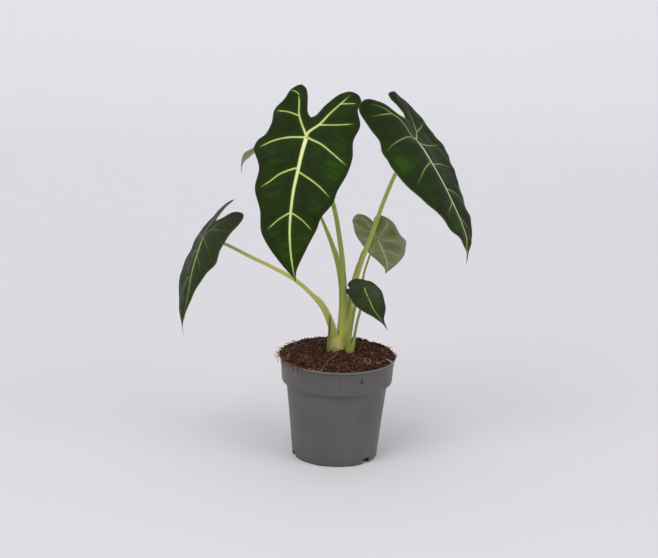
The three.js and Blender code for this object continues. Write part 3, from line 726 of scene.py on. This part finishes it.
def wing(name, leaf, low, high, towards, height, seed, material):
    """A thin ragged sheath margin that stands on a leaf's stem between two shares of its length."""
    path, radii = paths[leaf], LEAVES[leaf]["radii"]
    verts, faces, share = [], [], []
    last = len(path) - 1
    rows = [i for i in range(last + 1) if low <= i / last <= high]
    for i in rows:
        s = i / last
        t = (s - low) / (high - low)
        along = (path[min(i + 1, last)] - path[max(i - 1, 0)]).normalized()
        out = (Vector(towards) - along * Vector(towards).dot(along)).normalized()
        side = along.cross(out)
        r = between(radii, s)
        ragged = 0.35 * perlin(i * 0.35, seed, 0)
        tall = height * (step(0, 0.25, t) * (1 - step(0.82, 1, t)) * (0.75 + 0.25 * t) + 0.02)
        tall += ragged * step(0, 0.2, t)
        lean = 0.5 * perlin(i * 0.12, seed, 5)
        half = [(-0.8, 0.5), (tall * 0.5, 0.28), (tall, 0.12)]
        for h, w in half + [(h, -w) for h, w in half[::-1]]:
            verts.append(path[i] + out * (r + h) + side * (w + lean * max(h, 0)))
            share.append(max(0, h) / max(height, 0.1))
    for i in range(len(rows) - 1):
        faces += belt(i * 6, 6)
    faces += caps(0, len(verts) - 6, 6)
    make(name, verts, faces, [material], (), {"share": share})


MAIN_CROWN = ("centre_leaf", "right_leaf", "left_leaf", "rear_leaf")
SIDE_CROWN = ("back_leaf", "front_leaf")
STEM_GRAIN, STEM_SIDES = 1.6, 22
paths = {}
for k, (leaf_name, leaf_data) in enumerate(LEAVES.items()):
    tubes = Tubes()
    paths[leaf_name] = resample(smooth(leaf_data["path"], 300), STEM_GRAIN)

    def section(s, a, k=k):
        """A slightly three-sided, uneven section."""
        uneven = perlin(s * 9, cos(a), sin(a) + k)
        return 1 + 0.035 * cos(3 * a + k) + 0.03 * uneven

    def stem_radius(s, radii=leaf_data["radii"]):
        return between(radii, s)

    tubes.add(paths[leaf_name], stem_radius, STEM_SIDES, leaf_data["tone"], section)
    skin = SIDE_STEM if leaf_name in SIDE_CROWN else STEM
    tubes.piece(leaf_name + "_petiole", skin, "stem", [leaf_name + "_stem"])

wing("left_sheath_edge", "left_leaf", 0.05, 0.36, (0.7, -0.3, 0.7), 2.2, 1, MARGIN)
wing("right_sheath_edge", "right_leaf", 0.2, 0.48, (-1, -0.25, 0.1), 1.4, 2, BROWN_MARGIN)
wing("front_sheath_edge", "right_leaf", 0.015, 0.27, (-1, -0.6, 0.1), 3.6, 8, FLAP)
wing("rear_sheath_edge", "rear_leaf", 0.3, 0.47, (1, -0.5, 0.1), 1.2, 3, MARGIN)

SLEEVE_ROWS, SLEEVE_SPOKES = 22, 80
# How far out a sleeve's surface is sought, where the search ends, and its step.
REACH, LEAST_REACH, REACH_STEP = 20.0, 0.4, 0.1


def sleeve(name, leaves, low, high, blend, offsets, material, ragged=0.0, seed=0):
    """Sheath tissue that joins the feet of the leaves' stems, from low to a top near high.

    blend is how far it bridges between stems, and offsets its height over them, each by share of its height.
    """
    rows, spokes, verts, share = SLEEVE_ROWS, SLEEVE_SPOKES, [], []
    for i in range(rows + 1):
        t = i / rows
        for k in range(spokes):
            a = 2 * pi * k / spokes
            ray = Vector((cos(a), sin(a)))
            top = high + ragged * perlin(ray.x * 1.7, ray.y * 1.7, seed)
            top += 0.5 * ragged * perlin(ray.x * 5, ray.y * 5, seed)
            z = low + (top - low) * t
            rounds = []
            for leaf in leaves:
                line = paths[leaf]
                j = next((n for n, p in enumerate(line) if p.z >= z), len(line) - 1)
                rounds.append((line[j].to_2d(), between(LEAVES[leaf]["radii"], j / (len(line) - 1))))
            centre = sum((c for c, _ in rounds), Vector((0, 0))) / len(rounds)
            web, offset, reach = between(blend, t), between(offsets, t), REACH
            while reach > LEAST_REACH:
                spot = centre + ray * reach
                field = 99.0
                for c, radius in rounds:
                    gap = (spot - c).length - radius
                    h = max(web - abs(field - gap), 0) / web
                    field = min(field, gap) - h * h * web / 4
                if field < offset:
                    break
                reach -= REACH_STEP
            flat = centre + ray * reach
            verts.append((flat.x, flat.y, z))
            share.append(t)
    faces = []
    for i in range(rows):
        faces += belt(i * spokes, spokes)
    faces += caps(0, rows * spokes, spokes)
    even = [0.5] * len(verts)
    around = [k / spokes for _ in range(rows + 1) for k in range(spokes)]
    make(name, verts, faces, [material], (), {"share": share, "tone": even, "around": around})


EVEN_WEB = [(0, 7), (1, 7)]
sleeve("crown_sheath", MAIN_CROWN, 109, 133, EVEN_WEB, [(0, 0.5), (0.6, 0.1), (1, -0.9)], SHEATH)
sleeve(
    "inner_sheath", ("centre_leaf", "right_leaf", "rear_leaf"), 117, 168, [(0, 9), (0.5, 8), (1, 1)],
    [(0, -0.6), (0.25, 0.3), (0.7, -0.1), (1, -1.5)], INNER_SHEATH,
)
sleeve("crown_neck", MAIN_CROWN, 109, 117.5, EVEN_WEB, [(0, 1.2), (0.85, 0.8), (1, 0.1)], NECK, 7.0, 4)
sleeve("side_sheath", SIDE_CROWN, 109, 125, [(0, 5), (1, 5)], [(0, 0.5), (0.5, 0.2), (1, -0.8)], SIDE_SHEATH)

SPEAR_PATH = [(-9.5, -10, 106), (-9.8, -10, 119), (-9.6, -10, 135), (-9.2, -9.2, 152)]
SPEAR_RADII = [(0, 1.7), (0.35, 1.6), (0.5, 1.1), (0.85, 0.9), (1, 0.25)]
spear = Tubes()
spear.add(resample(smooth(SPEAR_PATH, 60), 1), lambda s: between(SPEAR_RADII, s))
spear.piece("spear", SPEAR, "stem", ["spear_shoot"])

# ---------------- pot


def circle(radius, z, count):
    return [(radius * cos(2 * pi * k / count), radius * sin(2 * pi * k / count), z) for k in range(count)]


def lathe(profile, segments):
    """Vertices and faces of a profile of (radius, height) turned about the axis, both ends on it."""
    verts, faces, rings = [], [], []
    for r, z in profile:
        if r == 0:
            rings.append([len(verts)] * segments)
            verts.append((0, 0, z))
        else:
            rings.append([len(verts) + k for k in range(segments)])
            verts += circle(r, z, segments)
    for a, b in zip(rings, rings[1:]):
        for k in range(segments):
            face = (a[k], a[(k + 1) % segments], b[(k + 1) % segments], b[k])
            faces.append(tuple(dict.fromkeys(face)))
    return verts, faces


# The underside with its raised ring, the foot, the wall, the step, the band, the lip, and down the inside.
POT_PROFILE = (
    "0 0, 30 0, 30.4 0.2, 30.8 0.8, 31.2 1, 39 1, 39.4 0.8, 39.8 0.2, 40.2 0, 43.3 0, 43.7 0.2, 44 0.8, "
    "44.7 8, 48.3 44, 51.7 74, 51.9 77.1, 52.3 78.6, 52.9 79.5, 55.8 80.2, 56.5 80.5, 56.9 81.1, 57 82.1, "
    "57.8 93, 58.4 103.6, 58.6 104.2, 59.3 104.4, 59.8 104.7, 60 105.3, 59.95 106, 59.6 106.5, 59 106.6, "
    "58 106.6, 57.6 106.4, 57.35 105.6, 57 98, 55.7 82, 51.2 79.4, 50.9 79, 42.9 3.3, 42.6 2.2, 41.3 1.8, "
    "0 1.8"
)
POT_SEGMENTS, SHARP = 180, 35
pot_verts, pot_faces = lathe(polyline(POT_PROFILE), POT_SEGMENTS)
pot = make("nursery_pot", pot_verts, pot_faces, [PLASTIC], ["pot"])
# Gaps in the foot: (angle, half width, height), three notches and the low gaps between them.
OPENINGS = [(a, 5, 6) for a in (-162, -42, 78)] + [(a, 6, 1) for a in (-108, -65, 12, 55, 132, 175)]
slot_verts, slot_faces = [], []
for angle, half, tall in OPENINGS:
    turn = Matrix.Rotation(radians(angle), 3, "Z")
    base = len(slot_verts)
    plan = [(37, 0.1 - half), (37.6, -half), (50, -half), (50, half), (37.6, half), (37, half - 0.1)]
    for z, narrow in ((-3, 1), (tall, 0.9)):
        slot_verts += [turn @ Vector((x, y * narrow, z)) for x, y in plan]
    slot_faces += caps(base, base + 6, 6) + belt(base, 6)
cutter_mesh = bpy.data.meshes.new("slots")
cutter_mesh.from_pydata([v * MM for v in slot_verts], [], slot_faces)
cutter = bpy.data.objects.new("slots", cutter_mesh)
bpy.context.scene.collection.objects.link(cutter)
cut = pot.modifiers.new("slots", "BOOLEAN")
cut.object, cut.operation, cut.solver = cutter, "DIFFERENCE", "EXACT"
cut_mesh = bpy.data.meshes.new_from_object(pot.evaluated_get(bpy.context.evaluated_depsgraph_get()))
pot.modifiers.clear()
pot.data = cut_mesh
bpy.data.objects.remove(cutter)
pot.data.set_sharp_from_angle(angle=radians(SHARP))

# ---------------- potting mix

# The mix's height by radius.
MOUND = [
    (0, MIX_CROWN), (18, MIX_CROWN), (32, MIX_CROWN - 0.7), (44, MIX_CROWN - 2), (52, MIX_CROWN - 4),
    (56.7, POT_HEIGHT + 0.6),
]
EDGE = MOUND[-1][0]


def ground(x, y):
    """The mix's lumpy surface, calmer towards its edge, with a hollow beside the side crown."""
    r = hypot(x, y)
    calm = step(EDGE - 6, EDGE, r)
    lumps = 2.0 * perlin(x * 0.07, y * 0.07, 3)
    lumps += 2.2 * abs(perlin(x * 0.17, y * 0.17, 9))
    lumps += 1.3 * perlin(x * 0.4, y * 0.4, 5) + 0.6 * perlin(x, y, 1)
    hollow = 4 * exp(-(((x - 21) ** 2 + (y + 1) ** 2) / 45))
    return between(MOUND, min(r, EDGE)) - 0.5 + lumps * (1 - 0.6 * calm) - hollow


rings, spokes = 78, 300
mix_verts = [(0, 0, ground(0, 0))]
for i in range(1, rings + 1):
    r = EDGE * i / rings
    for k in range(spokes):
        a = 2 * pi * (k + 0.5 * (i % 2)) / spokes
        x, y = r * cos(a), r * sin(a)
        mix_verts.append((x, y, ground(x, y)))
mix_faces = [(0, 1 + k, 1 + (k + 1) % spokes) for k in range(spokes)]
for i in range(rings - 1):
    mix_faces += belt(1 + i * spokes, spokes, inward=True)
MIX_SIDE = [(55.2, 82.3), (50.6, 79.1), (42.4, 4), (40.9, 2.1)]
for r, z in MIX_SIDE:
    last = len(mix_verts) - spokes
    mix_verts += circle(r, z, spokes)
    mix_faces += belt(last, spokes, inward=True)
mix_faces.append(tuple(range(len(mix_verts) - 1, len(mix_verts) - spokes - 1, -1)))
make("mix_body", mix_verts, mix_faces, [EARTH], ["potting_mix"])

MIX_SEED, CRUMBS, FIBRES = 11, 4600, 3000
# How far out crumbs lie, and where the front of the lip stays clear, and how far out fibres go.
OVER_LIP, INSIDE_LIP, FIBRE_LIMIT = 59.6, 57.7, 59.8
# Room kept clear at the stems' feet: (x, y, radius).
STEM_FEET = [(3, -2, 4), (8.5, 4.5, 4), (-4.3, -2, 4), (0.6, 6.6, 3.5), (12, -11.5, 4), (-9.7, -10, 2)]
# An icosahedron, from three crossed golden rectangles.
GOLD = (1 + 5**0.5) / 2
CORNERS = [(-1, GOLD), (1, GOLD), (-1, -GOLD), (1, -GOLD)]
BALL = [Vector((a, b, 0)).normalized() for a, b in CORNERS]
BALL += [Vector((0, a, b)).normalized() for a, b in CORNERS]
BALL += [Vector((b, 0, a)).normalized() for b in (GOLD, -GOLD) for a in (-1, 1)]
BALL_FACES = (
    (0, 11, 5), (0, 5, 1), (0, 1, 7), (0, 7, 10), (0, 10, 11), (1, 5, 9), (5, 11, 4), (11, 10, 2),
    (10, 7, 6), (7, 1, 8), (3, 9, 4), (3, 4, 2), (3, 2, 6), (3, 6, 8), (3, 8, 9), (4, 9, 5),
    (2, 4, 11), (6, 2, 10), (8, 6, 7), (9, 8, 1),
)
dice = random.Random(MIX_SEED)
crumb_verts, crumb_faces, crumb_tone = [], [], []


def on_mix(low=0.0):
    """A random spot on the mix, or on the lip where the mix lies over it, that no stem covers."""
    while True:
        r, a = OVER_LIP * sqrt(dice.uniform(low, 1)), dice.uniform(0, 2 * pi)
        x, y = r * cos(a), r * sin(a)
        limit = OVER_LIP if y > -12 or x < -34 else INSIDE_LIP
        if r < limit and all(hypot(x - fx, y - fy) > fr for fx, fy, fr in STEM_FEET):
            return x, y


def crumb(centre, size, tone):
    """An uneven, flattened, turned lump."""
    wide, deep, tall = dice.uniform(0.7, 1.9), dice.uniform(0.6, 1.1), dice.uniform(0.45, 0.9)
    shape = Vector((size * wide, size * deep, size * tall))
    turn = Matrix.Rotation(dice.uniform(0, 6.3), 3, "Z") @ Matrix.Rotation(dice.uniform(-0.9, 0.9), 3, "Y")
    first = len(crumb_verts)
    for v in BALL:
        rough = dice.uniform(0.6, 1.2)
        crumb_verts.append(centre + turn @ Vector((v.x * shape.x, v.y * shape.y, v.z * shape.z)) * rough)
        crumb_tone.append(tone)
    crumb_faces.extend(tuple(first + k for k in f) for f in BALL_FACES)


for i in range(CRUMBS):
    large = i % 9 == 0  # one in nine is larger and lies farther out
    x, y = on_mix(0.72 if large else 0)
    size = 0.35 + 0.75 * dice.random() ** 2 + (1.1 * dice.random() if large else 0)
    crumb(Vector((x, y, ground(x, y) + 0.35 * size)), size, dice.random() ** 1.5)
# Dirt on the pot, and dark crumbs that partly stand for painted shade in the foot's gaps: (angle, height,
# radius of the wall there, size, tone).
STUCK_DIRT_AND_SHADE = (
    # a smear on the band
    "-64.7 97.6 58.2 1 0.3, -64.6 96.1 58.1 1.1 0.25, -64.8 94.6 58 1 0.3, "
    "-63.8 97.4 58.2 1 0.8, -63.7 95.9 58.1 1.1 0.95, -63.9 94.5 58 1 0.9, "
    # a pale speck on the wall, and dark crumbs in the foot's front gaps, partly dirt and partly painted shade
    # of the gaps
    "-120 53 49.3 0.6 3.2, -114 1 44.3 0.6 0.1, -111 1 44.3 0.6 0.5, -108 1 44.3 0.65 0.2, "
    "-105 1 44.3 0.6 0.3, -68 1 44.3 0.6 0.5, -65 1 44.3 0.65 0.2, -62 1 44.3 0.6 0.4, "
    # bark and crumbs over the lip at the left
    "-137 104 60.2 1.3 0.9, -144 105 60.2 1.5 0.7, -132 105.5 60.2 1.1 0.8, -149 104.5 60.2 1.2 0.95, "
    "-140 106 60 1.5 0.8, -127 106 60 1 0.9, -148 101 58.6 0.8 0.8, -152 103 58.8 1 0.5, "
    "-141 100 58.5 0.6 0.9, -156 98 58.3 0.7 0.7, "
    # single specks
    "-58 104.6 59.6 0.6 0.8, -71 88 57.4 0.4 0.8, -40 70 51.5 0.4 0.8, -100 30 46.8 0.4 0.9"
)
for angle, z, r, size, tone in polyline(STUCK_DIRT_AND_SHADE):
    a = radians(angle)
    crumb(Vector((r * cos(a), r * sin(a), z)), size, tone)
make("mix_crumbs", crumb_verts, crumb_faces, [CRUMB], (), {"tone": crumb_tone})

hairs = Tubes()


def taper(thick, thinner):
    """A radius that has lost the given share at the tube's end."""
    return lambda s: thick * (1 - thinner * s)


HAIR_PARTS = 5
for i in range(FIBRES):
    x, y = on_mix()
    length = 1.6 + 10 * dice.random() ** 3
    heading, curl, lift = dice.uniform(0, 2 * pi), dice.uniform(-0.4, 0.4), dice.uniform(0, 1.3)
    points = []
    for j in range(HAIR_PARTS + 1):
        r = hypot(x, y)
        if r > FIBRE_LIMIT:
            x, y = x * FIBRE_LIMIT / r, y * FIBRE_LIMIT / r
        bow = lift * sin(pi * (j / HAIR_PARTS)) * (0.4 + length * 0.12)
        points.append(Vector((x, y, ground(x, y) + 0.25 + bow)))
        heading += curl + dice.uniform(-0.3, 0.3)
        x, y = x + cos(heading) * length / HAIR_PARTS, y + sin(heading) * length / HAIR_PARTS
    thick = dice.uniform(0.09, 0.24)
    hairs.add(points, taper(thick, 0.5), 3, 0.04 + 0.96 * dice.random() ** 2.2)
# Fibres that stand out over the lip in tufts, (angle, spread, count). At the left half of them hang down.
TUFTS = [
    (198, 7, 22), (186, 4, 12), (217, 6, 20), (172, 5, 10), (232, 3, 8), (150, 6, 12), (103, 9, 7),
    (66, 5, 6), (28, 6, 8), (-4, 6, 12),
]
TUFT_PARTS, TUFT_BASE, TUFT_REACH, HANGS_FROM = 6, 107.4, 60.5, 60.4
for middle, wide, count in TUFTS:
    for i in range(count):
        a = radians(dice.gauss(middle, wide))
        left = 160 < middle < 240
        out = dice.uniform(0.3, 5.5 if left else 2) * dice.random()
        droop = dice.uniform(2, 9) if left and i % 2 else dice.uniform(-1.2, 1.2)
        swing, low, start = dice.uniform(-0.09, 0.09), dice.uniform(0.0, 0.9), dice.uniform(53, 58)
        points = []
        for j in range(TUFT_PARTS + 1):
            s = j / TUFT_PARTS
            r = start + (TUFT_REACH + out - start) * min(1, s * 1.5)
            fall = droop * max(0, s - 0.55) / 0.45 if r > HANGS_FROM else 0
            z = TUFT_BASE + low + 0.8 * sin(pi * s) - fall
            points.append(Vector((r * cos(a + swing * s), r * sin(a + swing * s), z)))
        thick = dice.uniform(0.12, 0.34)
        hairs.add(points, taper(thick, 0.5), 3, 0.05 + 0.7 * dice.random() ** 2.5)
# Pale root hairs that hang over the lip at the front left.
HANGING = [
    "-49.6 -30.4 107.6, -51.6 -33 106.8, -52 -32.8 101.6, -52.2 -32.2 96.1, -53.6 -29.8 90.9, "
    "-53.6 -27.6 85.4",
    "-40.6 -42.4 107.6, -42.2 -44.8 106.8, -42.3 -45 103.5, -41.4 -45.6 98.4, -40.4 -45.4 93",
    "-45.8 -37 107.6, -47.6 -39.2 106.8, -48.4 -38.2 100, -49.6 -36.6 96",
]
for text in HANGING:
    hairs.add(resample(smooth(polyline(text), 60), 1.0), taper(0.2, 0.4), 4, 0.85)
hairs.piece("mix_fibres", FIBRE, "mix")

# ---------------- loose strands

# Strands that replace a solid: (points on the mix, points off it, radius, tone). They lie LYING over the mix.
LYING = 0.7
LOOSE = {
    "root_strand": (
        "0.7 -14, -1.4 -21, -4 -28, -7.5 -34.5, -10.8 -42, -13.6 -49",
        "-15.6 -56.5 108.8, -16.6 -60.6 106.6, -18.2 -60.6 100.4, -20.4 -59.6 96.6", 0.4, 0.62,
    ),
    "left_straw": ("-49.5 -10, -50 -16", "-50.7 -22.5 109.3, -51 -28 108.7", 0.9, 0.52),
    "right_straw": ("50.2 -18.8", "52.2 -21.4 109.6, 54.9 -24.4 108.7, 58.1 -24.6 105.4", 0.7, 1.0),
    "curled_fibre": (
        "27 -25, 28.1 -30.5, 28.8 -36.7, 30.4 -40.3, 32.4 -38.1, 33.2 -32.9, 31.9 -27", "", 0.35, 0.85,
    ),
}
for strand, (lying, free, thick, tone) in LOOSE.items():
    tubes = Tubes()
    points = [(x, y, max(ground(x, y), between(MOUND, hypot(x, y))) + LYING) for x, y in polyline(lying)]
    tubes.add(resample(smooth(points + polyline(free), 120), 0.8), taper(thick, 0.3), 8, tone)
    tubes.piece(strand + "_fine", FIBRE, "fibre", [strand])

for corm in ("main_corm", "side_corm"):
    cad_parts[corm].data.materials.clear()
    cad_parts[corm].data.materials.append(SCALE)

# ---------------- stage, light and camera


def pale_floor():
    """Pale, with painted light: a little paler towards the back and the wall, darker towards the front."""
    m = Shader("pale_floor")
    # painted light: paler from the front towards the back and up into the wall
    painted_light_to_back = m.span(m.node("SeparateXYZ", "Y", {"Vector": m.place()}), -0.5, 2.3)
    tone = m.mix(painted_light_to_back, (0.655, 0.640, 0.655), (0.845, 0.840, 0.870))
    return m.finish(tone, 0.7, Specular_IOR_Level=0.1)


# The floor in metres: flat from its front to where it curves up into a wall.
FRONT, CURVE_FROM, CURVE, WALL_TOP, HALF_WIDTH = -3.0, 1.4, 1.2, 5.0, 5
stage_mesh = bpy.data.meshes.new("stage_floor")
profile = [(FRONT, 0.0), (CURVE_FROM, 0.0)]
for degrees in range(6, 91, 6):
    a = radians(degrees)
    profile.append((CURVE_FROM + CURVE * sin(a), CURVE - CURVE * cos(a)))
profile.append((CURVE_FROM + CURVE, WALL_TOP))
stage_verts = [(x, y, z) for y, z in profile for x in (-HALF_WIDTH, HALF_WIDTH)]
stage_faces = [(2 * i, 2 * i + 1, 2 * i + 3, 2 * i + 2) for i in range(len(profile) - 1)]
stage_mesh.from_pydata(stage_verts, [], stage_faces)
stage_mesh.materials.append(pale_floor())
stage_mesh.shade_smooth()
stage = bpy.data.objects.new("stage_floor", stage_mesh)
bpy.context.scene.collection.objects.link(stage)

scene = bpy.context.scene
world = bpy.data.worlds.new("studio")
scene.world = world
world.use_nodes = True
background = world.node_tree.nodes["Background"].inputs
background["Color"].default_value, background["Strength"].default_value = (0.97, 0.965, 1.0, 1), 0.75
scene.view_settings.view_transform = "Standard"

LIT_SPOT = Vector((0, 0, 0.2))


def softbox(name, at, size, power):
    """A square area light, size metres wide, that faces the plant."""
    lamp = bpy.data.lights.new(name, "AREA")
    lamp.shape, lamp.size, lamp.energy = "SQUARE", size, power
    made = bpy.data.objects.new(name, lamp)
    made.location = at
    made.rotation_euler = (LIT_SPOT - Vector(at)).to_track_quat("-Z", "Y").to_euler()
    scene.collection.objects.link(made)


softbox("key", (-1.2, -1.6, 2.2), 1.6, 34)
softbox("fill", (1.8, -1.0, 1.4), 1.4, 14)

camera = bpy.data.cameras.new("camera")
camera.lens, camera.sensor_width = 117.8, 36
eye = bpy.data.objects.new("camera", camera)
scene.collection.objects.link(eye)
# The photograph's view, as it was fitted: how far above the level, how far rolled, from where, on what spot.
elevation, tilt, distance = radians(15.74), radians(1.89), 2.2
seen_spot = Vector((-0.0115, 0, 0.1879))
ahead = Vector((0, cos(elevation), -sin(elevation)))
level, upward = Vector((1, 0, 0)), Vector((0, sin(elevation), cos(elevation)))
right = level * cos(tilt) + upward * sin(tilt)
above = upward * cos(tilt) - level * sin(tilt)
facing = Matrix((right, above, -ahead)).transposed().to_4x4()
eye.matrix_world = Matrix.Translation(seen_spot - ahead * distance) @ facing
camera.clip_end = 30
scene.camera = eye

bpy.context.view_layer.update()
